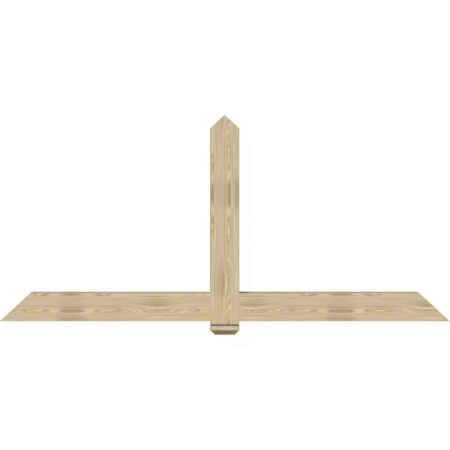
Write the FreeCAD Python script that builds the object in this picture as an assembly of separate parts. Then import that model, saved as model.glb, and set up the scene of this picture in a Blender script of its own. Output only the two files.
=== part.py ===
import FreeCAD
import Part

import os

# Timber gable bracket: a king post crossing a tie beam, both of square dressed timber.
#
# It lies on its back. X runs along the tie beam, Y up the king post to the ridge, and Z out of the
# front faces. The origin is where the centre lines of the two timbers cross, on the back faces.
# The beam's ends and the post's peak are cut to the same two roof slopes, so a rafter or fascia
# laid along a slope touches all three. The timbers cross in a lap joint: the post is whole in
# front, the beam is whole behind, and their cheeks meet on one flat face inside.

# Driving dimensions, in millimetres.
OVERALL_WIDTH = 1371.6  # tip to tip, along the underside of the tie beam (54 in)
ROOF_RISE = 11.0  # the roof slopes rise this much ...
ROOF_RUN = 12.0  # ... for this much along the level
TIMBER_DEPTH = 88.9  # both timbers, back face to front face (3 1/2 in)
BEAM_HEIGHT = 88.9  # face of the tie beam (3 1/2 in)
POST_WIDTH = 88.9  # face of the king post (3 1/2 in)
FOOT_DROP = 42.0  # from the underside of the beam down to the foot of the post
FOOT_CHAMFER = 14.2875  # 45 degree chamfer round all four sides of the foot (9/16 in)
KERF_DROP = 12.3  # from the underside of the beam down to the middle of the saw kerf
KERF_WIDTH = 4.7625  # saw kerf round the post above its foot (3/16 in)
KERF_DEPTH = 1.5875  # how far the kerf goes into each side of the post (1/16 in)
LAP_LEVEL = 44.45  # height of the lap joint's cheeks above the back faces
LAP_CLEARANCE = 0.2  # gap at each shoulder of the lap joint
ARRIS_RADIUS = 1.6  # long edges, eased when the timber was dressed (1/16 in)
OVERRUN = 30.0  # how far stock and cutting shapes run past the line that they are cut to

# Levels along Y and half sizes along X that both timbers are cut to.
BEAM_UNDERSIDE = -BEAM_HEIGHT / 2
BEAM_TOP = BEAM_HEIGHT / 2
HALF_POST = POST_WIDTH / 2
RIDGE = BEAM_UNDERSIDE + OVERALL_WIDTH / 2 * ROOF_RISE / ROOF_RUN
FOOT = BEAM_UNDERSIDE - FOOT_DROP
KERF_MIDDLE = BEAM_UNDERSIDE - KERF_DROP

X_AXIS = FreeCAD.Vector(1, 0, 0)
Y_AXIS = FreeCAD.Vector(0, 1, 0)


def block(low, high):
    """A box between two opposite corners, each given as (x, y, z)."""
    size = [top - bottom for bottom, top in zip(low, high)]
    return Part.makeBox(*size, FreeCAD.Vector(*low))


def dressed_stock(low, high, grain):
    """Dressed timber between two corners, with the four edges that run along the grain eased."""
    timber = block(low, high)
    arrises = [edge for edge in timber.Edges if abs(edge.tangentAt(0).dot(grain)) > 0.99]
    return timber.makeFillet(ARRIS_RADIUS, arrises)


def under_the_roof():
    """The space below the two roof slopes, which meet in the ridge."""
    base = FOOT - OVERRUN
    half_base = (RIDGE - base) * ROOF_RUN / ROOF_RISE
    corners = [
        FreeCAD.Vector(0, RIDGE, -OVERRUN),
        FreeCAD.Vector(-half_base, base, -OVERRUN),
        FreeCAD.Vector(half_base, base, -OVERRUN),
    ]
    gable = Part.Face(Part.makePolygon(corners + corners[:1]))
    return gable.extrude(FreeCAD.Vector(0, 0, TIMBER_DEPTH + 2 * OVERRUN))


def waste_round_post(core, bottom, top):
    """What a cut round all four sides of the post takes away between two levels, leaving a core."""
    slab = block(
        (-HALF_POST - OVERRUN, bottom, -OVERRUN),
        (HALF_POST + OVERRUN, top, TIMBER_DEPTH + OVERRUN),
    )
    return slab.cut(core)


def kerf_waste():
    """The saw kerf: an even groove round the post."""
    bottom = KERF_MIDDLE - KERF_WIDTH / 2
    top = KERF_MIDDLE + KERF_WIDTH / 2
    core = block(
        (-HALF_POST + KERF_DEPTH, bottom - OVERRUN, KERF_DEPTH),
        (HALF_POST - KERF_DEPTH, top + OVERRUN, TIMBER_DEPTH - KERF_DEPTH),
    )
    return waste_round_post(core, bottom, top)


def foot_waste():
    """The chamfer at the foot: the core tapers to a smaller square on all four sides."""
    chamfer_top = FOOT + FOOT_CHAMFER
    # A wedge along Y: the square at the foot first, then the full square where the chamfer ends.
    core = Part.makeWedge(
        -HALF_POST + FOOT_CHAMFER, FOOT, FOOT_CHAMFER, 0, -HALF_POST,
        HALF_POST - FOOT_CHAMFER, chamfer_top, TIMBER_DEPTH - FOOT_CHAMFER, TIMBER_DEPTH, HALF_POST,
    )
    return waste_round_post(core, FOOT - OVERRUN, chamfer_top)


def king_post():
    """The upright: peaked at the ridge, lapped behind over the beam, grooved and chamfered below."""
    stock = dressed_stock(
        (-HALF_POST, FOOT, 0),
        (HALF_POST, RIDGE + OVERRUN, TIMBER_DEPTH),
        Y_AXIS,
    )
    housing = block(
        (-HALF_POST - OVERRUN, BEAM_UNDERSIDE - LAP_CLEARANCE, -OVERRUN),
        (HALF_POST + OVERRUN, BEAM_TOP + LAP_CLEARANCE, LAP_LEVEL),
    )
    return stock.common(under_the_roof()).cut(housing).cut(kerf_waste()).cut(foot_waste())


def tie_beam():
    """The cross piece: both ends cut to the roof slopes, lapped in front over the post."""
    half_stock = OVERALL_WIDTH / 2 + OVERRUN
    stock = dressed_stock(
        (-half_stock, BEAM_UNDERSIDE, 0),
        (half_stock, BEAM_TOP, TIMBER_DEPTH),
        X_AXIS,
    )
    housing = block(
        (-HALF_POST - LAP_CLEARANCE, BEAM_UNDERSIDE - OVERRUN, LAP_LEVEL),
        (HALF_POST + LAP_CLEARANCE, BEAM_TOP + OVERRUN, TIMBER_DEPTH + OVERRUN),
    )
    return stock.common(under_the_roof()).cut(housing)


def write_pieces(pieces):
    """Write each piece to its own STEP file and print its size."""
    os.makedirs("parts", exist_ok=True)
    for name, shape in pieces.items():
        solid = shape.Solids[0]
        solid.exportStep(f"parts/{name}.step")
        box = solid.BoundBox
        print(
            f"{name}: {len(shape.Solids)} solid, valid {solid.isValid()}, {solid.Volume / 1e6:.4f} l, "
            f"X {box.XMin:.2f} to {box.XMax:.2f}, Y {box.YMin:.2f} to {box.YMax:.2f}, "
            f"Z {box.ZMin:.2f} to {box.ZMax:.2f}"
        )


write_pieces({"king_post": king_post(), "tie_beam": tie_beam()})
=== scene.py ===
"""Looks of a timber gable bracket: a king post crossing a tie beam, both of dressed pale softwood.

Each timber is a fine skin of quads in the row frame, in metres. Its grain is one solid of growth
rings round a wandering pith, so that faces, sides and saw cuts all show the same rings. Stains that
follow the figure lie just below each long face: eyes, ovals, flames, bowls, streaks and blushes.
"""

import logging
import math
from dataclasses import dataclass
from enum import Enum
from typing import Sequence

import bpy
import numpy as np
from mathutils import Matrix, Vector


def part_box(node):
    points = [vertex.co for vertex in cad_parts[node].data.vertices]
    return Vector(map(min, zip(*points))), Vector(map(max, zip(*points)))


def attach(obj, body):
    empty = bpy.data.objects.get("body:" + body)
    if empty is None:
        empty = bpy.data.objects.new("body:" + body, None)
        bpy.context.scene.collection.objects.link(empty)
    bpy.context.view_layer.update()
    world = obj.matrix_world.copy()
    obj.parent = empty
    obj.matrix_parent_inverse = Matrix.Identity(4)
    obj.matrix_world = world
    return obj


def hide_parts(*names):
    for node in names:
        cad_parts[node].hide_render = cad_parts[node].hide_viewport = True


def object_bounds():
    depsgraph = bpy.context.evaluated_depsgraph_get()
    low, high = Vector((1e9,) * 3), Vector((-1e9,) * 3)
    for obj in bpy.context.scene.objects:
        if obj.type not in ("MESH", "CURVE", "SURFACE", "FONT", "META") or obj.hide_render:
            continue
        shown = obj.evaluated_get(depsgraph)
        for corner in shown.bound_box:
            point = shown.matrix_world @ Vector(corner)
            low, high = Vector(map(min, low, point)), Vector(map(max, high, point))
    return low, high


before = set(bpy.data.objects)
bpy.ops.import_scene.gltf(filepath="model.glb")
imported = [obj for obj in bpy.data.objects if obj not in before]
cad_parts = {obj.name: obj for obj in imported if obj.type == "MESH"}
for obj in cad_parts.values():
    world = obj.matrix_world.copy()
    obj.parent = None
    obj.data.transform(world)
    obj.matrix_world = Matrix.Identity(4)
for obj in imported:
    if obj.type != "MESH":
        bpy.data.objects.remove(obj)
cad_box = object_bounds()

Colour = tuple[float, float, float, float]
Socket = bpy.types.NodeSocket
Value = float | Sequence[float] | Socket

log = logging.getLogger("gable_bracket")


def rgb(red: int, green: int, blue: int) -> Colour:
    """A colour as Blender wants it, scene-linear, from its plain 0 to 255 values.

    Args:
        red: Red, 0 to 255.
        green: Green, 0 to 255.
        blue: Blue, 0 to 255.

    Returns:
        The linear red, green, blue and an alpha of 1.
    """
    linear = [((part / 255 + 0.055) / 1.055) ** 2.4 for part in (red, green, blue)]
    return (*linear, 1.0)


# ---------------------------------------------------------------------------------------------
# The figure of the wood
# ---------------------------------------------------------------------------------------------


class Tone(Enum):
    """The stains on the plain wood. The value is the name of the mesh attribute that holds one."""

    BROWN = "brown"
    AMBER = "amber"
    PALE = "pale"
    PINK = "pink"
    OLIVE = "olive"


@dataclass(frozen=True)
class Swell:
    """A stretch where the pith runs nearer to the front face, or further from it.

    Attributes:
        along: Middle of the stretch, from the eye of the figure, in metres.
        reach: How far it reaches along the grain to each side.
        rings: Rings that it adds between the pith and the face.
    """

    along: float
    reach: float
    rings: float


@dataclass(frozen=True)
class Mark:
    """A long lens on the front face, pointed along the grain: an eye, a streak or a stain.

    Attributes:
        tone: The stain that it carries.
        along: Its middle along the grain, from the eye of the figure.
        across: Its middle across the grain, from the light edge of the face.
        half_length: Half its length.
        half_width: Half its width.
        strength: How strong the stain is in its middle, 0 to 1.
        slant: How far it drifts across the grain for each metre along it.
        bow: How far its two tips are bent across the grain.
        rings: Growth rings by which it lifts the wood round it.
    """

    tone: Tone
    along: float
    across: float
    half_length: float
    half_width: float
    strength: float
    slant: float = 0.0
    bow: float = 0.0
    rings: float = 0.0


@dataclass(frozen=True)
class Wave:
    """A slow wave through a timber: of its growth rings, of its pith or of its planed faces.

    Attributes:
        height: How much it adds at its crest.
        along: Radians for each metre along the grain.
        across: Radians for each metre across the face.
        depth: Radians for each metre below the face.
        shift: How many times the timber's own phase moves it.
    """

    height: float
    along: float
    across: float = 0.0
    depth: float = 0.0
    shift: float = 0.0

    def at(
        self, along: np.ndarray, across: np.ndarray, depth: np.ndarray, phase: float
    ) -> np.ndarray:
        """The wave's value at each point.

        Args:
            along: Places along the grain.
            across: Places across the face.
            depth: Depths below the front face.
            phase: The timber's own phase, in radians.

        Returns:
            Values from minus its height to its height.
        """
        angle = along * self.along + across * self.across + depth * self.depth
        return self.height * np.sin(angle + self.shift * phase)


# How the pith wanders across the face, in metres.
SWAY = (Wave(0.0016, 17.0, shift=1.0), Wave(0.0009, 41.0))

# How the rings swing out from the pith, in rings. They swing less close to it.
RING_WAVES = (Wave(0.80, 9.0, 31.0, 23.0, 1.0), Wave(0.35, 23.0, -57.0, 71.0, 2.0))

# A quicker wave that is the same everywhere, in rings.
QUICK_WAVE = Wave(0.14, 61.0, 130.0, -90.0, 3.0)

# The unevenness that planing leaves is the product of these two.
PLANING = (Wave(1.0, 95.0, 40.0), Wave(1.0, 0.0, 210.0, 160.0))

# From the eye of the figure to the middle of its dark smear, along the grain.
SMEAR = 0.265

SWELLS = (
    Swell(0.000, 0.030, -2.6),
    Swell(0.118, 0.030, -1.2),
    Swell(SMEAR, 0.072, 4.2),
    Swell(SMEAR, 0.020, -2.2),
    Swell(0.386, 0.016, -1.0),
)

# The eye: a brown lens in a band that is darker from edge to edge, with pale wood past its tips.
EYE = (
    Mark(Tone.BROWN, 0.000, 0.0583, 0.040, 0.0048, 0.50),
    Mark(Tone.BROWN, 0.033, 0.0585, 0.013, 0.0024, 0.75),
    Mark(Tone.BROWN, 0.000, 0.0622, 0.038, 0.0014, 0.75, bow=-0.0034),
    Mark(Tone.BROWN, 0.000, 0.0548, 0.036, 0.0011, 0.60, bow=0.0030),
    Mark(Tone.PALE, 0.000, 0.0662, 0.058, 0.0016, 0.55, bow=-0.0035),
    Mark(Tone.BROWN, 0.000, 0.0473, 0.060, 0.0014, 0.60),
    Mark(Tone.BROWN, 0.000, 0.0450, 0.042, 0.0650, 0.17),
    Mark(Tone.OLIVE, 0.000, 0.0840, 0.038, 0.0100, 0.75),
    Mark(Tone.BROWN, 0.034, 0.0800, 0.014, 0.0050, 0.30),
    Mark(Tone.PALE, 0.056, 0.0575, 0.018, 0.0075, 0.60),
)

# An oval with a dark tip towards the eye, and the line that runs above it.
OVAL = (
    Mark(Tone.BROWN, 0.081, 0.0572, 0.014, 0.0027, 0.95),
    Mark(Tone.BROWN, 0.120, 0.0560, 0.036, 0.0064, 0.34),
    Mark(Tone.BROWN, 0.118, 0.0505, 0.034, 0.0012, 0.55, bow=0.0045),
    Mark(Tone.BROWN, 0.118, 0.0618, 0.034, 0.0013, 0.60, bow=-0.0045),
    Mark(Tone.PALE, 0.116, 0.0562, 0.030, 0.0042, 0.95),
    Mark(Tone.AMBER, 0.125, 0.0640, 0.052, 0.0060, 0.45),
    Mark(Tone.OLIVE, 0.130, 0.0510, 0.032, 0.0018, 0.60, bow=0.0030),
    Mark(Tone.BROWN, 0.146, 0.0562, 0.006, 0.0042, 0.70),
    Mark(Tone.BROWN, 0.122, 0.0445, 0.078, 0.0016, 0.50),
    Mark(Tone.PALE, 0.105, 0.0482, 0.060, 0.0017, 0.55),
)

# Flames: short slanting strokes that lead down to the bowl, and up again on its far side.
FLAMES = (
    Mark(Tone.BROWN, 0.177, 0.0560, 0.013, 0.0016, 0.60, slant=0.42),
    Mark(Tone.PALE, 0.187, 0.0545, 0.014, 0.0034, 0.75, slant=0.40),
    Mark(Tone.BROWN, 0.197, 0.0565, 0.014, 0.0016, 0.65, slant=0.42),
    Mark(Tone.PALE, 0.208, 0.0590, 0.014, 0.0040, 0.75, slant=0.40),
    Mark(Tone.BROWN, 0.220, 0.0560, 0.015, 0.0016, 0.60, slant=0.44),
    Mark(Tone.PALE, 0.322, 0.0530, 0.014, 0.0030, 0.70, slant=-0.35),
    Mark(Tone.BROWN, 0.333, 0.0560, 0.016, 0.0016, 0.70, slant=-0.50),
    Mark(Tone.PALE, 0.344, 0.0600, 0.015, 0.0060, 0.70, slant=-0.20),
    Mark(Tone.PALE, 0.352, 0.0495, 0.013, 0.0022, 0.55, slant=-0.20),
    Mark(Tone.BROWN, 0.370, 0.0500, 0.016, 0.0016, 0.60, slant=-0.45),
)

# The smear, with a bright crescent under it and nested bowls below that.
BOWL = (
    Mark(Tone.OLIVE, SMEAR, 0.0330, 0.052, 0.0130, 0.55),
    Mark(Tone.BROWN, 0.267, 0.0405, 0.031, 0.0044, 0.52),
    Mark(Tone.BROWN, 0.215, 0.0372, 0.032, 0.0014, 0.60, slant=0.06),
    Mark(Tone.BROWN, 0.316, 0.0372, 0.027, 0.0014, 0.50, slant=-0.06),
    Mark(Tone.PALE, 0.268, 0.0502, 0.036, 0.0027, 0.85, bow=-0.0025),
    Mark(Tone.BROWN, 0.266, 0.0560, 0.052, 0.0014, 0.75, bow=-0.0080),
    Mark(Tone.AMBER, 0.266, 0.0600, 0.036, 0.0044, 0.75),
    Mark(Tone.PALE, 0.268, 0.0598, 0.016, 0.0013, 0.70),
    Mark(Tone.OLIVE, 0.266, 0.0632, 0.034, 0.0013, 0.80, bow=-0.0020),
    Mark(Tone.PALE, 0.266, 0.0668, 0.042, 0.0016, 0.45),
    Mark(Tone.BROWN, 0.290, 0.0712, 0.100, 0.0020, 0.35),
    Mark(Tone.PALE, 0.265, 0.0790, 0.036, 0.0048, 0.60),
)

# A small lens near the mirror line.
LENS = (
    Mark(Tone.BROWN, 0.390, 0.0560, 0.007, 0.0045, 0.70),
    Mark(Tone.PALE, 0.399, 0.0575, 0.010, 0.0030, 0.55),
    Mark(Tone.AMBER, 0.375, 0.0545, 0.022, 0.0045, 0.35),
    Mark(Tone.AMBER, 0.400, 0.0740, 0.030, 0.0110, 0.40),
    Mark(Tone.PALE, 0.400, 0.0480, 0.020, 0.0013, 0.55),
)

# Streaks along the light edge, some with a bright oval in them.
STREAKS = (
    Mark(Tone.BROWN, 0.000, 0.0074, 0.038, 0.0036, 0.85, rings=1.6),
    Mark(Tone.PALE, 0.052, 0.0068, 0.020, 0.0038, 0.50),
    Mark(Tone.AMBER, 0.088, 0.0088, 0.024, 0.0036, 0.95, slant=0.10, rings=1.4),
    Mark(Tone.BROWN, 0.084, 0.0088, 0.019, 0.0028, 0.75, slant=0.10),
    Mark(Tone.PALE, 0.101, 0.0068, 0.008, 0.0026, 0.95),
    Mark(Tone.BROWN, 0.113, 0.0080, 0.007, 0.0034, 0.70),
    Mark(Tone.AMBER, 0.122, 0.0090, 0.024, 0.0026, 0.75),
    Mark(Tone.PALE, 0.140, 0.0060, 0.016, 0.0030, 0.50),
    Mark(Tone.PALE, 0.134, 0.0169, 0.028, 0.0012, 0.60),
    Mark(Tone.BROWN, 0.138, 0.0200, 0.028, 0.0012, 0.45),
    Mark(Tone.BROWN, SMEAR, 0.0138, 0.050, 0.0021, 0.60, rings=1.2),
    Mark(Tone.PALE, SMEAR, 0.0163, 0.042, 0.0012, 0.40),
    Mark(Tone.BROWN, 0.352, 0.0155, 0.024, 0.0015, 0.40),
    Mark(Tone.PALE, 0.352, 0.0185, 0.018, 0.0013, 0.50),
    Mark(Tone.AMBER, 0.384, 0.0075, 0.024, 0.0042, 0.60, rings=1.6),
    Mark(Tone.PALE, 0.396, 0.0075, 0.012, 0.0030, 0.90),
    Mark(Tone.BROWN, 0.408, 0.0078, 0.006, 0.0045, 0.60),
)

# Broad rosy stretches above the middle of the face.
BLUSH = (
    Mark(Tone.PINK, 0.110, 0.0290, 0.110, 0.0150, 0.75),
    Mark(Tone.PINK, 0.402, 0.0270, 0.032, 0.0110, 0.85),
    Mark(Tone.PALE, 0.100, 0.0290, 0.060, 0.0080, 0.20),
)

MARKS = (*EYE, *OVAL, *FLAMES, *BOWL, *LENS, *STREAKS, *BLUSH)


@dataclass(frozen=True)
class Figure:
    """Growth rings and stains of one timber, known at every point inside it.

    Points are given along the grain from an eye of the figure, across the face from its light
    edge, and deep below the front face. The figure is mirrored at each eye and midway between
    two eyes, with a slow drift that keeps one repeat from being a copy of the next.

    Attributes:
        ring_width: Mean width of a growth ring.
        pith_across: Where the pith lies across the face, from the light edge.
        pith_rings: Rings between the pith and the front face, which it runs just in front of.
        half_repeat: From an eye to the next mirror line.
        drift: How far the figure drifts along the grain.
        drift_turn: Radians of that drift for each metre along the grain.
        calm: How far from the pith the rings reach their full swing.
        calm_share: The least share of that swing, at the pith.
        fade: How deep the stains of a face reach.
        firmness: How firm the rim of a mark is: 1 for a soft one, more for a firmer one.
        size: Side of the square timber.
        face_shifts: How far the figure is moved on the front, the two sides and the back.
        phase: Where the slow waves of this timber start, in radians.
    """

    ring_width: float = 0.0021
    pith_across: float = 0.0570
    pith_rings: float = 4.6
    half_repeat: float = 0.408
    drift: float = 0.005
    drift_turn: float = 5.3
    calm: float = 0.02
    calm_share: float = 0.25
    fade: float = 0.012
    firmness: float = 1.8
    size: float = 0.0889
    face_shifts: tuple[float, ...] = (0.0, 0.21, 0.57, 0.36)
    phase: float = 0.0

    def folded(self, along: np.ndarray) -> np.ndarray:
        """The distance from the nearest eye, along the grain.

        Args:
            along: Places along the grain.

        Returns:
            Distances from 0, at an eye, to half_repeat.
        """
        drifted = along + self.drift * np.sin(along * self.drift_turn + self.phase)
        period = 2 * self.half_repeat
        return np.abs((drifted + self.half_repeat) % period - self.half_repeat)

    def rings(self, along: np.ndarray, across: np.ndarray, depth: np.ndarray) -> np.ndarray:
        """Growth rings counted out from the pith.

        Args:
            along: Places along the grain.
            across: Places across the face.
            depth: Depths below the front face.

        Returns:
            The ring count at each point, with its fraction.
        """
        from_eye = self.folded(along)
        to_face = self.pith_rings + sum(
            swell.rings * np.exp(-(((from_eye - swell.along) / swell.reach) ** 2))
            for swell in SWELLS
        )
        sway = sum(wave.at(along, across, depth, self.phase) for wave in SWAY)
        aside = (across - self.pith_across - sway) / self.ring_width
        count = np.hypot(aside, to_face + depth / self.ring_width)
        for mark in MARKS:
            if mark.rings:
                count = count + mark.rings * self.lens(mark, from_eye, across, depth)
        return count + self.waves(along, across, depth)

    def waves(self, along: np.ndarray, across: np.ndarray, depth: np.ndarray) -> np.ndarray:
        """Slow waves of the rings, as every trunk has them.

        Args:
            along: Places along the grain.
            across: Places across the face.
            depth: Depths below the front face.

        Returns:
            Rings to add at each point.
        """
        swing = sum(wave.at(along, across, depth, self.phase) for wave in RING_WAVES)
        from_pith = np.abs(across - self.pith_across) + depth
        share = np.clip(from_pith / self.calm, self.calm_share, 1.0)
        return swing * share + QUICK_WAVE.at(along, across, depth, self.phase)

    def lens(
        self, mark: Mark, from_eye: np.ndarray, across: np.ndarray, depth: np.ndarray
    ) -> np.ndarray:
        """How far a point lies inside a mark: 1 in its middle, 0 outside.

        Args:
            mark: The mark.
            from_eye: Distances from the nearest eye.
            across: Places across the face.
            depth: Depths below the front face.

        Returns:
            A soft value from 0 to 1.
        """
        past = from_eye - mark.along
        way = past / mark.half_length
        middle = mark.across + mark.slant * past + mark.bow * way**2
        reach = way**2 + ((across - middle) / mark.half_width) ** 2
        return np.exp(-(reach**self.firmness)) * np.exp(-((depth / self.fade) ** 2))

    def on_nearest_face(
        self, along: np.ndarray, across: np.ndarray, depth: np.ndarray
    ) -> tuple[np.ndarray, np.ndarray, np.ndarray]:
        """Points as they lie to the long face that is nearest to each.

        Every long face carries the same kind of figure, moved along the grain.

        Args:
            along: Places along the grain.
            across: Places across the front face.
            depth: Depths below the front face.

        Returns:
            Places along the grain, across that face, and below it.
        """
        far_across = self.size - across
        far_depth = self.size - depth
        below = np.stack([depth, across, far_across, far_depth])
        over = np.stack([across, depth, far_depth, far_across])
        nearest = below.argmin(axis=0)[None]
        shift = np.array(self.face_shifts)[nearest[0]]
        take = np.take_along_axis
        return along + shift, take(over, nearest, 0)[0], take(below, nearest, 0)[0]

    def stain(
        self, tone: Tone, along: np.ndarray, across: np.ndarray, depth: np.ndarray
    ) -> np.ndarray:
        """One stain of the wood.

        Args:
            tone: Which stain.
            along: Places along the grain.
            across: Places across the front face.
            depth: Depths below the front face.

        Returns:
            Its strength at each point, 0 to 1.
        """
        along, across, depth = self.on_nearest_face(along, across, depth)
        from_eye = self.folded(along)
        clear = np.ones_like(from_eye)
        for mark in MARKS:
            if mark.tone is tone:
                clear = clear * (1 - mark.strength * self.lens(mark, from_eye, across, depth))
        return 1 - clear


# ---------------------------------------------------------------------------------------------
# Meshes
# ---------------------------------------------------------------------------------------------

# Edges that turn by more than this stay sharp.
SHARP_ANGLE = math.radians(28)


def lattice_lines(stops: Sequence[float], pitch: float) -> np.ndarray:
    """Lines of a lattice along one axis.

    Args:
        stops: Places that get a line, from low to high.
        pitch: About how far apart the lines between two stops are.

    Returns:
        Every line's place.
    """
    lines = [stops[0]]
    for low, high in zip(stops, stops[1:]):
        cells = max(1, round((high - low) / pitch))
        lines.extend(np.linspace(low, high, cells + 1)[1:])
    return np.array(lines)


def cell_middles(*lines: np.ndarray) -> list[np.ndarray]:
    """The middle of every cell of a lattice.

    Args:
        lines: The lattice lines along each axis.

    Returns:
        One array for each axis, with a value a cell.
    """
    return np.meshgrid(*((line[1:] + line[:-1]) / 2 for line in lines), indexing="ij")


def lattice_skin(
    lines: Sequence[np.ndarray], solid: np.ndarray
) -> tuple[np.ndarray, np.ndarray]:
    """The closed skin of quads round the solid cells of a lattice.

    Args:
        lines: The lattice lines along X, Y and Z.
        solid: Which cells are solid, one value a cell.

    Returns:
        The skin's points and its quads, which face outwards.
    """
    shape = [len(axis_lines) for axis_lines in lines]
    padded = np.pad(solid, 1)
    quads = []
    for axis in range(3):
        order = (axis, (axis + 1) % 3, (axis + 2) % 3)
        cells = np.transpose(padded, order)[:, 1:-1, 1:-1]
        up = cells[:-1] & ~cells[1:]
        down = ~cells[:-1] & cells[1:]
        for faces, turn in ((up, 1), (down, -1)):
            plane, row, column = np.nonzero(faces)
            corners = []
            for row_step, column_step in ((0, 0), (1, 0), (1, 1), (0, 1))[::turn]:
                place = dict(zip(order, (plane, row + row_step, column + column_step)))
                corners.append(np.ravel_multi_index([place[0], place[1], place[2]], shape))
            quads.append(np.stack(corners, axis=1))
    used, quads = np.unique(np.concatenate(quads), return_inverse=True)
    places = np.unravel_index(used, shape)
    points = np.stack([lines[axis][places[axis]] for axis in range(3)], axis=1)
    return points, quads.reshape(-1, 4)


def mesh_object(name: str, points: np.ndarray, quads: np.ndarray) -> bpy.types.Object:
    """A mesh object in the scene, smooth but for its real edges.

    Args:
        name: Name of the object and its mesh.
        points: Vertex places, in metres.
        quads: Four vertex numbers a face.

    Returns:
        The object.
    """
    mesh = bpy.data.meshes.new(name)
    mesh.vertices.add(len(points))
    mesh.vertices.foreach_set("co", points.astype(np.float32).ravel())
    mesh.loops.add(quads.size)
    mesh.loops.foreach_set("vertex_index", quads.astype(np.int32).ravel())
    mesh.polygons.add(len(quads))
    mesh.polygons.foreach_set("loop_start", np.arange(0, quads.size, 4, dtype=np.int32))
    mesh.polygons.foreach_set("use_smooth", np.ones(len(quads), dtype=bool))
    mesh.update(calc_edges=True)
    mesh.validate()
    mesh.set_sharp_from_angle(angle=SHARP_ANGLE)
    thing = bpy.data.objects.new(name, mesh)
    bpy.context.scene.collection.objects.link(thing)
    return thing


def of_faces(mesh: bpy.types.Mesh, field: str) -> np.ndarray:
    """The normal or the center of every face of a mesh.

    Args:
        mesh: The mesh.
        field: Which of the two, by its name in Blender.

    Returns:
        Three numbers for each face.
    """
    values = np.empty(len(mesh.polygons) * 3, dtype=np.float32)
    mesh.polygons.foreach_get(field, values)
    return values.reshape(-1, 3)


def store(mesh: bpy.types.Mesh, name: str, values: np.ndarray, domain: str = "POINT") -> None:
    """Put values into the mesh for its material to read.

    Args:
        mesh: The mesh.
        name: The attribute's name.
        values: A number or three numbers for each vertex or face.
        domain: POINT for a value a vertex, FACE for a value a face.
    """
    kind, field = ("FLOAT_VECTOR", "vector") if values.ndim == 2 else ("FLOAT", "value")
    attribute = mesh.attributes.new(name, kind, domain)
    attribute.data.foreach_set(field, values.astype(np.float32).ravel())


# ---------------------------------------------------------------------------------------------
# Shader node groups
# ---------------------------------------------------------------------------------------------

# How fine each pattern is: cells for each metre along the grain, across it and below the face.
WAVER_CELLS = (6.0, 160.0, 160.0)
FIBRE_CELLS = (11.0, 270.0, 270.0)
FINE_FIBRE_CELLS = (16.0, 1700.0, 1700.0)
CANAL_CELLS = (26.0, 900.0, 900.0)
CLOUD_CELLS = (2.6, 34.0, 34.0)
SAW_MARK_CELLS = (60.0, 60.0, 900.0)

# The same for patterns that are alike in every direction.
PORE_CELLS = 1500.0
CHECK_WANDER_CELLS = 90.0
CHECK_PATCH_CELLS = 38.0

# How often the shade of the rings changes, in changes a ring: the quick one and the slow one.
QUICK_SHADE = 0.37
SLOW_SHADE = 0.11

# The parts of a ring at which its latewood starts to darken and is darkest.
LATEWOOD_START = 0.35
LATEWOOD_PEAK = 0.93

# Drying checks: how many run out for each radian, how wide they are in metres, how far they
# wander in radians, and how near to the pith they stop narrowing.
CHECKS_A_RADIAN = 2.4
CHECK_WIDTH = 0.0011
CHECK_WANDER = 0.06
CHECK_ROOT = 0.01


class Graph:
    """A node tree, with short calls that add a node and link it up."""

    def __init__(self, tree: bpy.types.NodeTree) -> None:
        """Work on this tree, which starts empty."""
        self.tree = tree
        tree.nodes.clear()

    def add(
        self, kind: str, inputs: dict[str | int, Value] | None = None, **settings: object
    ) -> bpy.types.Node:
        """A new node.

        Args:
            kind: The node's type.
            inputs: What goes into its inputs, by name or number: a value or a socket.
            settings: Its own settings.

        Returns:
            The node.
        """
        node = self.tree.nodes.new(kind)
        for name, value in settings.items():
            setattr(node, name, value)
        for key, value in (inputs or {}).items():
            if isinstance(value, Socket):
                self.tree.links.new(value, node.inputs[key])
            else:
                node.inputs[key].default_value = value
        return node

    def math(
        self, operation: str, first: Value, second: Value = 0.0, third: Value = 0.0
    ) -> Socket:
        """The result of a Math node on up to three values."""
        inputs = {0: first, 1: second, 2: third}
        return self.add("ShaderNodeMath", inputs, operation=operation).outputs[0]

    def scaled(self, vector: Value, scale: Sequence[float]) -> Socket:
        """A vector times a scale for each axis."""
        node = self.add("ShaderNodeVectorMath", {0: vector, 1: scale}, operation="MULTIPLY")
        return node.outputs[0]

    def ramp(
        self, value: Value, low: Value, high: Value, start: float = 0.0, end: float = 1.0
    ) -> Socket:
        """A smooth step of a value, from start below low to end above high."""
        inputs = {"Value": value, "From Min": low, "From Max": high, "To Min": start, "To Max": end}
        return self.add("ShaderNodeMapRange", inputs, interpolation_type="SMOOTHSTEP").outputs[0]

    def mix(self, factor: Value, first: Value, second: Value, blend: str = "MIX") -> Socket:
        """Two colours mixed by a factor: the first at 0, the second at 1."""
        inputs = {0: factor, 6: first, 7: second}
        return self.add("ShaderNodeMix", inputs, data_type="RGBA", blend_type=blend).outputs[2]

    def grey(self, value: Socket) -> Socket:
        """A grey colour, as light as a value."""
        return self.add("ShaderNodeCombineColor", {0: value, 1: value, 2: value}).outputs[0]

    def noise(self, vector: Value, scale: float, detail: float = 2.0, rough: float = 0.5) -> Socket:
        """Smooth noise, 0 to 1, over a vector."""
        inputs = {"Vector": vector, "Scale": scale, "Detail": detail, "Roughness": rough}
        return self.add("ShaderNodeTexNoise", inputs).outputs["Fac"]

    def line_noise(self, value: Value, scale: float) -> Socket:
        """Smooth noise, 0 to 1, over one number."""
        inputs = {"W": value, "Scale": scale, "Detail": 1.0}
        return self.add("ShaderNodeTexNoise", inputs, noise_dimensions="1D").outputs["Fac"]

    def attribute(self, name: str, vector: bool = False) -> Socket:
        """A mesh attribute, as a vector or as a value."""
        node = self.add("ShaderNodeAttribute", attribute_name=name)
        return node.outputs["Vector" if vector else "Fac"]


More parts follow.
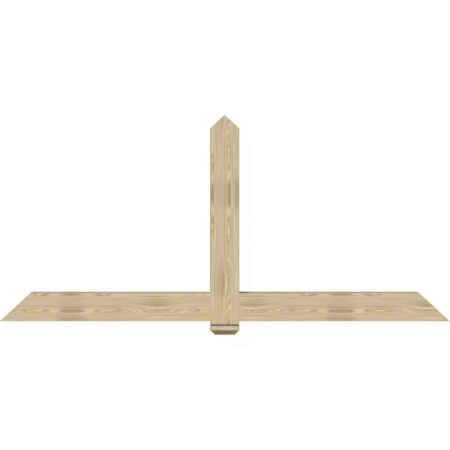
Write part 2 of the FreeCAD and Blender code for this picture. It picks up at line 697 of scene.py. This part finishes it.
def new_group(
    name: str, inputs: dict[str, float | None], outputs: Sequence[str]
) -> tuple[Graph, bpy.types.Node, bpy.types.Node]:
    """An empty shader node group with named sockets.

    Args:
        name: The group's name.
        inputs: Its inputs and their defaults. None makes a vector input.
        outputs: Its outputs, all of them values.

    Returns:
        The group as a graph, its input node and its output node.
    """
    tree = bpy.data.node_groups.new(name, "ShaderNodeTree")
    graph = Graph(tree)
    for socket, default in inputs.items():
        kind = "NodeSocketVector" if default is None else "NodeSocketFloat"
        made = tree.interface.new_socket(name=socket, in_out="INPUT", socket_type=kind)
        if default is not None:
            made.default_value = default
    for socket in outputs:
        tree.interface.new_socket(name=socket, in_out="OUTPUT", socket_type="NodeSocketFloat")
    return graph, graph.add("NodeGroupInput"), graph.add("NodeGroupOutput")


def growth_rings_group() -> bpy.types.NodeTree:
    """Latewood lines and the change of shade from one group of rings to the next.

    Returns:
        A group that puts out the latewood line and the shade, both 0 to 1.
    """
    graph, given, out = new_group(
        "growth_rings", {"Place": None, "Rings": 0.0, "Waver": 0.3}, ("Line", "Shade")
    )
    streaks = graph.noise(graph.scaled(given.outputs["Place"], WAVER_CELLS), 1.0)
    waver = graph.math("MULTIPLY", graph.math("SUBTRACT", streaks, 0.5), given.outputs["Waver"])
    rings = graph.math("ADD", given.outputs["Rings"], waver)
    part = graph.math("FRACT", rings)
    rise = graph.ramp(part, LATEWOOD_START, LATEWOOD_PEAK)
    fall = graph.ramp(part, LATEWOOD_PEAK, 1.0, start=1.0, end=0.0)
    number = graph.math("FLOOR", rings)
    own = graph.add("ShaderNodeTexWhiteNoise", {"W": number}, noise_dimensions="1D")
    strength = graph.ramp(own.outputs["Value"], 0.0, 1.0, start=0.25)
    line = graph.math("MULTIPLY", graph.math("MULTIPLY", rise, fall), strength)
    graph.tree.links.new(line, out.inputs["Line"])
    quick = graph.line_noise(rings, QUICK_SHADE)
    slow = graph.line_noise(rings, SLOW_SHADE)
    both = graph.math("MULTIPLY_ADD", slow, 0.5, graph.math("MULTIPLY", quick, 0.5))
    graph.tree.links.new(graph.ramp(both, low=0.35, high=0.65), out.inputs["Shade"])
    return graph.tree


def fibre_group() -> bpy.types.NodeTree:
    """Fine fibres, resin canals and broad clouds along the grain.

    Returns:
        A group that puts out fine fibres, dark canals and broad clouds, each 0 to 1.
    """
    graph, given, out = new_group("fibres", {"Place": None}, ("Fine", "Canals", "Cloud"))
    place = given.outputs["Place"]
    coarse = graph.noise(graph.scaled(place, FIBRE_CELLS), 1.0, detail=3.0, rough=0.6)
    fine = graph.noise(graph.scaled(place, FINE_FIBRE_CELLS), 1.0, rough=0.6)
    both = graph.math("ADD", graph.math("MULTIPLY", coarse, 0.6), graph.math("MULTIPLY", fine, 0.4))
    graph.tree.links.new(both, out.inputs["Fine"])
    dashes = graph.noise(graph.scaled(place, CANAL_CELLS), 1.0, detail=0.0)
    graph.tree.links.new(graph.ramp(dashes, low=0.70, high=0.80), out.inputs["Canals"])
    cloud = graph.noise(graph.scaled(place, CLOUD_CELLS), 1.0)
    graph.tree.links.new(graph.ramp(cloud, low=0.3, high=0.7), out.inputs["Cloud"])
    return graph.tree


def saw_cut_group() -> bpy.types.NodeTree:
    """Where a saw went across the grain: end grain, pores, saw marks and small drying checks.

    Returns:
        A group that puts out the end-grain mask, its pores, its checks and its saw marks.
    """
    inputs = {"Place": None, "From Pith": None, "Facing": 0.0}
    graph, given, out = new_group("saw_cut", inputs, ("Mask", "Pores", "Checks", "Marks"))
    mask = graph.ramp(given.outputs["Facing"], low=0.35, high=0.6)
    graph.tree.links.new(mask, out.inputs["Mask"])
    pores = graph.noise(given.outputs["Place"], PORE_CELLS)
    graph.tree.links.new(graph.ramp(pores, low=0.45, high=0.75), out.inputs["Pores"])
    split = graph.add("ShaderNodeSeparateXYZ", {0: given.outputs["From Pith"]})
    angle = graph.math("ARCTAN2", split.outputs["Y"], split.outputs["Z"])
    wander = graph.noise(given.outputs["Place"], CHECK_WANDER_CELLS)
    angle = graph.math("ADD", angle, graph.math("MULTIPLY", wander, CHECK_WANDER))
    rays = graph.add(
        "ShaderNodeTexVoronoi",
        {"W": angle, "Scale": CHECKS_A_RADIAN, "Randomness": 0.9},
        voronoi_dimensions="1D",
        feature="F1",
    )
    away = graph.add(
        "ShaderNodeVectorMath", {0: given.outputs["From Pith"]}, operation="LENGTH"
    ).outputs["Value"]
    width = graph.math("DIVIDE", CHECK_WIDTH, graph.math("MAXIMUM", away, CHECK_ROOT))
    check = graph.math("LESS_THAN", rays.outputs["Distance"], width)
    patches = graph.noise(given.outputs["Place"], CHECK_PATCH_CELLS, detail=0.0)
    check = graph.math("MULTIPLY", check, graph.ramp(patches, low=0.52, high=0.6))
    graph.tree.links.new(graph.math("MULTIPLY", check, mask), out.inputs["Checks"])
    stripes = graph.noise(graph.scaled(given.outputs["Place"], SAW_MARK_CELLS), 1.0, detail=1.0)
    graph.tree.links.new(graph.math("MULTIPLY", stripes, mask), out.inputs["Marks"])
    return graph.tree


# ---------------------------------------------------------------------------------------------
# Finishes
# ---------------------------------------------------------------------------------------------


@dataclass(frozen=True)
class TimberFinish:
    """Dressed, unfinished pale softwood.

    Attributes:
        name: Name of the material.
        earlywood: Colour between the lines.
        warm_wood: Colour of the warmer groups of rings.
        latewood: Colour of the lines.
        edge_grain_and_shade: Colour of the darker line along the light edge, partly a darker grain
            line and partly painted shade of the eased edge.
        end_wood: What end grain is multiplied by.
        stains: Colour of each stain.
        check: Colour inside a drying check.
        corner: Colour of the darkest stretch of the line along the light edge, painted shadow of
            the post on the beam.
        painted_kerf_shade: Colour painted on the faces inside the kerf, as painted shade of the
            groove.
        line_strength: How strong the latewood lines are.
        end_lines: How much stronger they are in end grain.
        streakiness: How far the fibres break a stain up.
        fibre_dark: What the darkest fibres are multiplied by.
        fibre_light: What the lightest fibres are multiplied by.
        kerf_shade_strength: How strong the painted shade inside the kerf is.
        check_strength: How strong the colour of a drying check is.
        pore_strength: How much latewood colour the pores of end grain take.
        canal_strength: How much latewood colour the resin canals take.
        edge_strength: How strong the line along the light edge is.
        roughness: Roughness of the planed face.
        line_smooth: How much smoother the latewood lines are.
        end_rough: How much rougher end grain is.
        ior: Index of refraction, which sets the sheen.
        relief: Depth of the bump, in metres.
    """

    name: str
    earlywood: Colour = rgb(221, 204, 170)
    warm_wood: Colour = rgb(204, 183, 148)
    latewood: Colour = rgb(178, 152, 113)
    # Partly a darker grain line, partly painted shade of the eased edge.
    edge_grain_and_shade: Colour = rgb(128, 108, 80)
    end_wood: Colour = rgb(228, 222, 214)
    stains: tuple[tuple[Tone, Colour], ...] = (
        (Tone.PINK, rgb(212, 187, 163)),
        (Tone.OLIVE, rgb(176, 160, 122)),
        (Tone.AMBER, rgb(212, 188, 128)),
        (Tone.BROWN, rgb(152, 126, 90)),
        (Tone.PALE, rgb(238, 217, 176)),
    )
    check: Colour = rgb(74, 56, 38)
    # Painted shadow: the dark that the post casts on the beam's edge just beside it.
    corner: Colour = rgb(74, 56, 38)
    # Painted shade: the dark of the kerf's groove, painted on its faces.
    painted_kerf_shade: Colour = rgb(88, 70, 50)
    line_strength: float = 0.66
    end_lines: float = 0.5
    streakiness: float = 0.9
    fibre_dark: float = 0.84
    fibre_light: float = 1.13
    kerf_shade_strength: float = 0.90
    check_strength: float = 0.60
    pore_strength: float = 0.35
    canal_strength: float = 0.25
    edge_strength: float = 0.95
    roughness: float = 0.62
    line_smooth: float = 0.08
    end_rough: float = 0.2
    ior: float = 1.38
    relief: float = 0.00025

    def material(self, groups: dict[str, bpy.types.NodeTree]) -> bpy.types.Material:
        """The finish as a material.

        Args:
            groups: The shared node groups, by name.

        Returns:
            The material.
        """
        material = bpy.data.materials.new(self.name)
        material.use_nodes = True
        graph = Graph(material.node_tree)
        place = graph.attribute("place", vector=True)
        rings = graph.add("ShaderNodeGroup", node_tree=groups["growth_rings"])
        fibres = graph.add("ShaderNodeGroup", node_tree=groups["fibres"])
        cut = graph.add("ShaderNodeGroup", node_tree=groups["saw_cut"])
        link = graph.tree.links.new
        link(place, rings.inputs["Place"])
        link(place, fibres.inputs["Place"])
        link(place, cut.inputs["Place"])
        link(graph.attribute("rings"), rings.inputs["Rings"])
        link(graph.attribute("from_pith", vector=True), cut.inputs["From Pith"])
        link(graph.attribute("facing"), cut.inputs["Facing"])
        color = self.color(graph, rings, fibres, cut)
        height = self.height(graph, rings, fibres, cut)
        bump = graph.add(
            "ShaderNodeBump", {"Height": height, "Distance": self.relief, "Strength": 1.0}
        )
        rough = graph.math("MULTIPLY_ADD", rings.outputs["Line"], -self.line_smooth, self.roughness)
        rough = graph.math("MULTIPLY_ADD", cut.outputs["Mask"], self.end_rough, rough)
        surface = graph.add(
            "ShaderNodeBsdfPrincipled",
            {"Base Color": color, "Roughness": rough, "Normal": bump.outputs["Normal"]},
        )
        surface.inputs["IOR"].default_value = self.ior
        output = graph.add("ShaderNodeOutputMaterial")
        link(surface.outputs[0], output.inputs["Surface"])
        return material

    def color(
        self, graph: Graph, rings: bpy.types.Node, fibres: bpy.types.Node, cut: bpy.types.Node
    ) -> Socket:
        """The colour of the wood.

        Args:
            graph: The material's graph.
            rings: The growth-rings group node.
            fibres: The fibres group node.
            cut: The saw-cut group node.

        Returns:
            The socket that holds it.
        """
        shade = graph.math("MULTIPLY", rings.outputs["Shade"], 0.5)
        warm = graph.math("MULTIPLY_ADD", fibres.outputs["Cloud"], 0.5, shade)
        color = graph.mix(warm, self.earlywood, self.warm_wood)
        streaky = graph.math("MULTIPLY_ADD", fibres.outputs["Fine"], self.streakiness, 0.5)
        for tone, stain in self.stains:
            amount = graph.math("MULTIPLY", graph.attribute(tone.value), streaky)
            amount = graph.math("MINIMUM", amount, 1.0)
            color = graph.mix(amount, color, stain)
        # The line along the light edge: partly a darker grain line, partly painted shade of the
        # eased edge.
        edge = graph.math("MULTIPLY", graph.attribute("edge"), self.edge_strength)
        color = graph.mix(graph.math("MINIMUM", edge, 1.0), color, self.edge_grain_and_shade)
        # Painted shadow: where the edge value passes 1, beside the post on the beam, the colour
        # goes to the post's painted shadow.
        color = graph.mix(graph.ramp(edge, 1.0, 2.0), color, self.corner)
        line = graph.math("MULTIPLY", rings.outputs["Line"], self.line_strength)
        end_line = graph.math("MULTIPLY", cut.outputs["Mask"], line)
        line = graph.math("MULTIPLY_ADD", end_line, self.end_lines, line)
        color = graph.mix(line, color, self.latewood)
        fine = graph.ramp(fibres.outputs["Fine"], 0.25, 0.75, self.fibre_dark, self.fibre_light)
        color = graph.mix(1.0, color, graph.grey(fine), "MULTIPLY")
        canals = graph.math("MULTIPLY", fibres.outputs["Canals"], self.canal_strength)
        color = graph.mix(canals, color, self.latewood)
        return self.cut_color(graph, cut, color)

    def cut_color(self, graph: Graph, cut: bpy.types.Node, color: Socket) -> Socket:
        """The colour of the wood with its end grain, its drying checks and its kerf.

        Args:
            graph: The material's graph.
            cut: The saw-cut group node.
            color: The colour of the long faces.

        Returns:
            The socket that holds it.
        """
        pores = graph.math("MULTIPLY", cut.outputs["Pores"], self.pore_strength)
        end = graph.mix(pores, graph.mix(1.0, color, self.end_wood, "MULTIPLY"), self.latewood)
        color = graph.mix(cut.outputs["Mask"], color, end)
        checks = graph.math("MULTIPLY", cut.outputs["Checks"], self.check_strength)
        color = graph.mix(checks, color, self.check)
        # Painted shade: the faces inside the kerf are darkened to the shade of the groove.
        kerf_shade = graph.math("MULTIPLY", graph.attribute("kerf_shade"), self.kerf_shade_strength)
        return graph.mix(kerf_shade, color, self.painted_kerf_shade)

    def height(
        self, graph: Graph, rings: bpy.types.Node, fibres: bpy.types.Node, cut: bpy.types.Node
    ) -> Socket:
        """The fine relief of the wood.

        Args:
            graph: The material's graph.
            rings: The growth-rings group node.
            fibres: The fibres group node.
            cut: The saw-cut group node.

        Returns:
            The socket that holds it, 0 to about 1.
        """
        # Each pattern with its share of the relief, below 0 for what is sunk.
        shares = (
            (rings.outputs["Line"], 0.25),
            (fibres.outputs["Canals"], -0.2),
            (cut.outputs["Marks"], 0.6),
            (cut.outputs["Checks"], -1.0),
        )
        height = graph.math("MULTIPLY", fibres.outputs["Fine"], 0.5)
        for pattern, share in shares:
            height = graph.math("MULTIPLY_ADD", pattern, share, height)
        return height


# ---------------------------------------------------------------------------------------------
# The two timbers
# ---------------------------------------------------------------------------------------------


@dataclass
class Timber:
    """A dressed timber, cut from square stock.

    Attributes:
        node: The CAD node that it replaces.
        slot: The record's material slot, whose name its finish takes.
        figure: Its growth rings and stains.
        grain_axis: The row axis that its grain follows: 0 for X, 1 for Y.
        eye: Where an eye of the figure lies along the grain.
        grain_sign: 1 where the figure runs up the grain axis, -1 where it runs down.
        light_edge: Which side of the face is the light edge: -1 for the low one, 1 for the high.
        arris: Radius of the eased long edges.
        saw_edge: Width of the tiny bevel that sanding leaves along a saw cut.
        along_pitch: Size of a cell along the grain.
        across_pitch: Size of a cell across the grain.
        ripple: Depth of the slow unevenness that planing leaves.
        edge_grain_and_shade_width: Width of the darker line along the light edge of the front face,
            partly grain and partly painted shade.
        edge_reach: How far that line reaches down the side.
    """

    node: str
    slot: str
    figure: Figure
    grain_axis: int
    eye: float
    grain_sign: int = 1
    light_edge: int = 1
    arris: float = 0.0016
    saw_edge: float = 0.0004
    along_pitch: float = 0.006
    across_pitch: float = 0.0015
    ripple: float = 0.00012
    edge_grain_and_shade_width: float = 0.0026
    edge_reach: float = 0.0035

    def __post_init__(self) -> None:
        """Take the timber's outer size from its CAD node."""
        low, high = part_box(self.node)
        self.low = np.array(low)
        self.high = np.array(high)
        self.side_axis = 1 - self.grain_axis

    def section_lines(self, axis: int, extra: Sequence[float] = ()) -> np.ndarray:
        """Lattice lines across the section, closer over the eased edges.

        Args:
            axis: The row axis, across the grain.
            extra: More places that get a line.

        Returns:
            The lines.
        """
        steps = np.linspace(0, self.arris, 4)
        edges = [*(self.low[axis] + steps), *(self.high[axis] - steps)]
        return lattice_lines(sorted([*edges, *extra]), self.across_pitch)

    def ease(self, points: np.ndarray, radius: np.ndarray) -> np.ndarray:
        """Round the four long edges.

        Args:
            points: Points of the square timber.
            radius: Radius of the edges at each point.

        Returns:
            The points, with the corners of each section drawn in to a round.
        """
        axes = [self.side_axis, 2]
        section = points[:, axes]
        low = self.low[axes] + radius[:, None]
        high = self.high[axes] - radius[:, None]
        inner = np.clip(section, low, high)
        out = section - inner
        reach = np.linalg.norm(out, axis=1)
        keep = np.abs(out).max(axis=1) / np.maximum(reach, 1e-9)
        eased = points.copy()
        eased[:, axes] = inner + out * np.where(reach > 0, keep, 1.0)[:, None]
        return eased

    def draw_in(self, points: np.ndarray, amount: np.ndarray) -> np.ndarray:
        """Draw each section in towards its middle.

        Args:
            points: Points of the timber.
            amount: How far the sides at each point move in.

        Returns:
            The moved points.
        """
        axes = [self.side_axis, 2]
        middle = (self.low[axes] + self.high[axes]) / 2
        half = (self.high[axes] - self.low[axes]) / 2
        drawn = points.copy()
        share = 1 - amount[:, None] / half
        drawn[:, axes] = middle + (points[:, axes] - middle) * share
        return drawn

    def skin(self) -> tuple[np.ndarray, np.ndarray]:
        """The timber's points and quads, which each kind of timber makes in its own way."""
        raise NotImplementedError

    def grain_place(self, points: np.ndarray) -> tuple[np.ndarray, np.ndarray, np.ndarray]:
        """Points as the figure knows them.

        Args:
            points: Points in the row frame.

        Returns:
            Places along the grain, across the face from its light edge, and below the front.
        """
        along = (points[:, self.grain_axis] - self.eye) * self.grain_sign
        if self.light_edge > 0:
            across = self.high[self.side_axis] - points[:, self.side_axis]
        else:
            across = points[:, self.side_axis] - self.low[self.side_axis]
        return along, across, self.high[2] - points[:, 2]

    def edge_share(self, points: np.ndarray) -> np.ndarray:
        """How strong the line along the light edge is at each point: 1 for its usual strength."""
        return np.ones(len(points))

    def painted_kerf_shade(self, centers: np.ndarray) -> np.ndarray:
        """1 for faces that carry the kerf's painted shade, by the centers of the faces."""
        return np.zeros(len(centers))

    def build(self, material: bpy.types.Material) -> bpy.types.Object:
        """Make the timber, dress it and hang it in the frame.

        Args:
            material: Its finish.

        Returns:
            The piece.
        """
        points, quads = self.skin()
        piece = mesh_object(f"{self.node}_timber", points, quads)
        self.dress(piece.data, self.plane(piece.data, points), self.grain_place(points))
        piece.data.materials.append(material)
        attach(piece, "root")
        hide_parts(self.node)
        return piece

    def plane(self, mesh: bpy.types.Mesh, points: np.ndarray) -> np.ndarray:
        """Give the faces the slow unevenness of planed wood.

        Args:
            mesh: The timber's mesh.
            points: Its points.

        Returns:
            The moved points.
        """
        normals = np.empty(len(points) * 3, dtype=np.float32)
        mesh.vertices.foreach_get("normal", normals)
        where = self.grain_place(points)
        first, second = (wave.at(*where, self.figure.phase) for wave in PLANING)
        dents = self.ripple * (0.5 + 0.5 * first * second)
        planed = points - normals.reshape(-1, 3) * dents[:, None]
        mesh.vertices.foreach_set("co", planed.astype(np.float32).ravel())
        return planed

    def dress(
        self,
        mesh: bpy.types.Mesh,
        points: np.ndarray,
        where: tuple[np.ndarray, np.ndarray, np.ndarray],
    ) -> None:
        """Store what the finish reads: rings, places, stains, saw cuts, the kerf's painted shade
        and the line along the light edge, which is partly painted shade.

        Args:
            mesh: The timber's mesh.
            points: Its points, as planed.
            where: The same points as the figure knows them, before planing.
        """
        along, across, depth = where
        store(mesh, "rings", self.figure.rings(along, across, depth))
        store(mesh, "place", np.stack([along + self.figure.phase, across, depth], axis=1))
        aside = across - self.figure.pith_across
        store(mesh, "from_pith", np.stack([np.zeros_like(along), aside, depth], axis=1))
        store(mesh, "facing", np.abs(of_faces(mesh, "normal")[:, self.grain_axis]), "FACE")
        # The kerf's faces are marked for painted shade.
        store(mesh, "kerf_shade", self.painted_kerf_shade(of_faces(mesh, "center")), "FACE")
        for tone in Tone:
            store(mesh, tone.value, self.figure.stain(tone, along, across, depth))
        # The line along the light edge, partly grain and partly painted shade of the eased edge.
        edge = np.exp(-((across / self.edge_grain_and_shade_width) ** 2) - (depth / self.edge_reach) ** 2)
        store(mesh, "edge", edge * self.edge_share(points))
        mesh.update()


@dataclass
class TieBeam(Timber):
    """The cross piece, its ends cut to the roof slopes, notched in front for the post.

    Attributes:
        notch_half: Half the width of the notch.
        lap_level: Height of the notch's floor.
        roof_run: How far the roof runs level for each metre that it rises.
        straight: Share of the half length that keeps upright lattice lines.
        painted_post_shadow: How much stronger the line along the light edge is in the corner by the
            post: painted shadow of the post.
        painted_post_shadow_reach: How far along the beam that painted shadow goes.
    """

    notch_half: float = 0.04448
    lap_level: float = 0.04445
    roof_run: float = 12 / 11
    straight: float = 0.8
    # Painted shadow of the post on the beam's edge, beside it.
    painted_post_shadow: float = 2.0
    painted_post_shadow_reach: float = 0.030

    def skin(self) -> tuple[np.ndarray, np.ndarray]:
        """The beam's skin.

        Returns:
            Its points and its quads.
        """
        half = self.high[0]
        height = self.high[1] - self.low[1]
        middle_half = half - height / 2 * self.roof_run
        ends = [-middle_half, -middle_half + self.saw_edge]
        x = lattice_lines(
            [*ends, -self.notch_half, self.notch_half, -ends[1], -ends[0]], self.along_pitch
        )
        y = self.section_lines(1)
        z = self.section_lines(2, [self.lap_level])
        x_mid, _, z_mid = cell_middles(x, y, z)
        solid = (np.abs(x_mid) > self.notch_half) | (z_mid < self.lap_level)
        points, quads = lattice_skin((x, y, z), solid)
        from_end = middle_half - np.abs(points[:, 0])
        points = self.ease(points, np.full(len(points), self.arris))
        points = self.draw_in(points, np.maximum(self.saw_edge - from_end, 0))
        return self.slope_ends(points, middle_half), quads

    def edge_share(self, points: np.ndarray) -> np.ndarray:
        """How strong the line along the light edge is.

        Args:
            points: Points of the beam.

        Returns:
            1 at most points, and more in the corner to the right of the post, as painted shadow of
            the post.
        """
        # Painted shadow of the post on the beam's edge, fading away to its right.
        from_post = points[:, 0] - self.notch_half
        corner = np.exp(-((from_post / self.painted_post_shadow_reach) ** 2))
        return 1 + self.painted_post_shadow * corner * (from_post > -self.saw_edge)

    def slope_ends(self, points: np.ndarray, middle_half: float) -> np.ndarray:
        """Lean the ends over to the roof slopes.

        Args:
            points: Points of the square-ended beam.
            middle_half: Half its length along the middle of its face.

        Returns:
            The points of the beam with sloping ends.
        """
        middle = (self.high[1] + self.low[1]) / 2
        half_here = middle_half - (points[:, 1] - middle) * self.roof_run
        upright = self.straight * middle_half
        beyond = np.maximum(np.abs(points[:, 0]) - upright, 0)
        stretch = (half_here - upright) / (middle_half - upright)
        leaned = points.copy()
        leaned[:, 0] += np.sign(points[:, 0]) * beyond * (stretch - 1)
        return leaned


@dataclass
class KingPost(Timber):
    """The upright: peaked to the roof slopes, notched behind, grooved and chamfered at its foot.

    Attributes:
        housing_low: Lower end of the notch behind.
        housing_high: Its upper end.
        lap_level: Height of the notch's floor.
        roof_rise: How much the roof rises for each metre that it runs level.
        kerf_middle: Where the saw kerf lies.
        kerf_width: Its width.
        kerf_depth: Its depth.
        chamfer: Size of the chamfer round the foot.
        peak_zone: Length below the ridge over which the lattice bends to the peak.
        joint_arris: Radius of the long edges where they lie flush in the beam.
    """

    housing_low: float = -0.04465
    housing_high: float = 0.04465
    lap_level: float = 0.04445
    roof_rise: float = 11 / 12
    kerf_middle: float = -0.05675
    kerf_width: float = 0.0047625
    kerf_depth: float = 0.0015875
    chamfer: float = 0.0142875
    peak_zone: float = 0.14
    joint_arris: float = 0.0001

    def skin(self) -> tuple[np.ndarray, np.ndarray]:
        """The post's skin.

        Returns:
            Its points and its quads.
        """
        foot = self.low[1]
        ridge = self.high[1]
        kerf_low = self.kerf_middle - self.kerf_width / 2
        kerf_high = self.kerf_middle + self.kerf_width / 2
        core = self.high[0] - self.kerf_depth
        back = self.low[2] + self.kerf_depth
        front = self.high[2] - self.kerf_depth
        x = self.section_lines(0, [-core, 0, core])
        below = [foot, foot + self.chamfer, kerf_low, kerf_high, self.housing_low]
        above = [self.housing_high, ridge - self.peak_zone, ridge - self.saw_edge, ridge]
        y = lattice_lines([*below, *above], self.along_pitch)
        z = self.section_lines(2, [back, self.lap_level, front])
        x_mid, y_mid, z_mid = cell_middles(x, y, z)
        in_kerf = (y_mid > kerf_low) & (y_mid < kerf_high)
        in_core = (np.abs(x_mid) < core) & (z_mid > back) & (z_mid < front)
        in_housing = (y_mid > self.housing_low) & (y_mid < self.housing_high)
        solid = ~(in_kerf & ~in_core) & ~(in_housing & (z_mid < self.lap_level))
        points, quads = lattice_skin((x, y, z), solid)
        height = points[:, 1]
        crossing = (height > self.housing_low) & (height < self.housing_high)
        points = self.ease(points, np.where(crossing, self.joint_arris, self.arris))
        points = self.draw_in(points, np.maximum(self.chamfer - (height - foot), 0))
        points = self.draw_in(points, np.maximum(self.saw_edge - (ridge - height), 0))
        bend = np.clip((height - ridge + self.peak_zone) / self.peak_zone, 0, 1)
        points[:, 1] -= np.abs(points[:, 0]) * self.roof_rise * bend
        return points, quads

    def edge_share(self, points: np.ndarray) -> np.ndarray:
        """1 where the light edge of the face is bare, 0 where the beam covers it."""
        inside = (points[:, 1] > self.housing_low) & (points[:, 1] < self.housing_high)
        return 1.0 - inside

    def painted_kerf_shade(self, centers: np.ndarray) -> np.ndarray:
        """1 for the faces inside the kerf, which carry its painted shade, by the centers of the
        faces.
        """
        reach = self.kerf_width / 2 + self.ripple
        return (np.abs(centers[:, 1] - self.kerf_middle) < reach).astype(np.float32)


# ---------------------------------------------------------------------------------------------
# The studio
# ---------------------------------------------------------------------------------------------


@dataclass
class Studio:
    """A pale floor, soft light and the camera, which looks straight down on the front faces.

    Attributes:
        floor_size: Side of the floor.
        floor_color: What the floor gives back to the light.
        floor_white: Share of plain white in what the camera sees of the floor.
        floor_glow: Strength of that white.
        floor_gap: How far the floor lies below the bracket.
        sky: Strength of the even light from all round.
        key: Strength of the key light.
        key_tilt: Where the key light comes from: level metres along X and Y for each metre up.
        key_angle: Width of the key light, in radians, which makes its shadows soft.
        distance: From the camera down to the front faces.
        view_middle: Where the middle of the picture lies along Y.
        view_aside: Where it lies along X.
        view_width: Width of the picture at the front faces, as a share of the bracket's.
    """

    floor_size: float = 60.0
    floor_color: Colour = (0.62, 0.62, 0.62, 1.0)
    floor_white: float = 0.91
    floor_glow: float = 1.06
    floor_gap: float = 0.0002
    sky: float = 0.24
    key: float = 3.02
    key_tilt: tuple[float, float] = (-0.55, 0.52)
    key_angle: float = 0.2
    distance: float = 14.0
    view_middle: float = 0.2484
    view_aside: float = 0.0009
    view_width: float = 0.99956

    def build(self) -> None:
        """Set up the floor, the light and the camera."""
        self.floor()
        self.light()
        self.camera()
        bpy.context.scene.view_settings.view_transform = "Standard"

    def seen(self, graph: Graph) -> Socket:
        """Whether a ray shows a surface to the eye.

        Args:
            graph: The graph of the floor or the world.

        Returns:
            1 for what is seen straight, in a gloss or through glass, and 0 for plain light.
        """
        path = graph.add("ShaderNodeLightPath")
        seen = graph.math("MAXIMUM", path.outputs["Is Camera Ray"], path.outputs["Is Glossy Ray"])
        return graph.math("MAXIMUM", seen, path.outputs["Is Transmission Ray"])

    def floor(self) -> None:
        """A level floor under the bracket, white to the eye, that keeps the bracket's shadow."""
        half = self.floor_size / 2
        level = cad_box[0].z - self.floor_gap
        corners = np.array([(-half, -half), (half, -half), (half, half), (-half, half)])
        points = np.column_stack([corners, np.full(4, level)])
        floor = mesh_object("floor", points, np.array([[0, 1, 2, 3]]))
        material = bpy.data.materials.new("floor")
        material.use_nodes = True
        graph = Graph(material.node_tree)
        plain = graph.add("ShaderNodeBsdfDiffuse", {"Color": self.floor_color})
        white = graph.add("ShaderNodeEmission", {"Strength": self.floor_glow})
        factor = graph.math("MULTIPLY", self.seen(graph), self.floor_white)
        mixed = graph.add(
            "ShaderNodeMixShader", {0: factor, 1: plain.outputs[0], 2: white.outputs[0]}
        )
        output = graph.add("ShaderNodeOutputMaterial")
        graph.tree.links.new(mixed.outputs[0], output.inputs["Surface"])
        floor.data.materials.append(material)

    def light(self) -> None:
        """One broad key light from the upper left, and even light from all round."""
        lamp = bpy.data.lights.new("key", "SUN")
        lamp.energy = self.key
        lamp.angle = self.key_angle
        key = bpy.data.objects.new("key", lamp)
        key.rotation_euler = (math.atan(-self.key_tilt[1]), math.atan(self.key_tilt[0]), 0)
        bpy.context.scene.collection.objects.link(key)
        world = bpy.data.worlds.new("studio")
        world.use_nodes = True
        bpy.context.scene.world = world
        graph = Graph(world.node_tree)
        strength = graph.math("MULTIPLY_ADD", self.seen(graph), 1 - self.sky, self.sky)
        background = graph.add("ShaderNodeBackground", {"Strength": strength})
        output = graph.add("ShaderNodeOutputWorld")
        graph.tree.links.new(background.outputs[0], output.inputs["Surface"])

    def camera(self) -> None:
        """The camera over the bracket, its up side towards the ridge."""
        width = (cad_box[1].x - cad_box[0].x) * self.view_width
        lens = bpy.data.cameras.new("camera")
        lens.lens = lens.sensor_width * self.distance / width
        camera = bpy.data.objects.new("camera", lens)
        camera.location = (self.view_aside, self.view_middle, cad_box[1].z + self.distance)
        bpy.context.scene.collection.objects.link(camera)
        bpy.context.scene.camera = camera


def main() -> None:
    """Build the bracket and its studio, and note the size of both models."""
    logging.basicConfig(level=logging.INFO, format="%(name)s: %(message)s")
    Studio().build()
    groups = {
        group.name: group for group in (growth_rings_group(), fibre_group(), saw_cut_group())
    }
    post = KingPost(
        node="king_post",
        slot="post_timber",
        figure=Figure(phase=1.3),
        grain_axis=1,
        eye=0.340,
        grain_sign=-1,
        light_edge=-1,
    )
    beam = TieBeam(
        node="tie_beam",
        slot="beam_timber",
        figure=Figure(),
        grain_axis=0,
        eye=-0.466,
    )
    for timber in (post, beam):
        piece = timber.build(TimberFinish(timber.slot).material(groups))
        log.info("%s: %d quads", piece.name, len(piece.data.polygons))


if __name__ == "__main__":
    main()
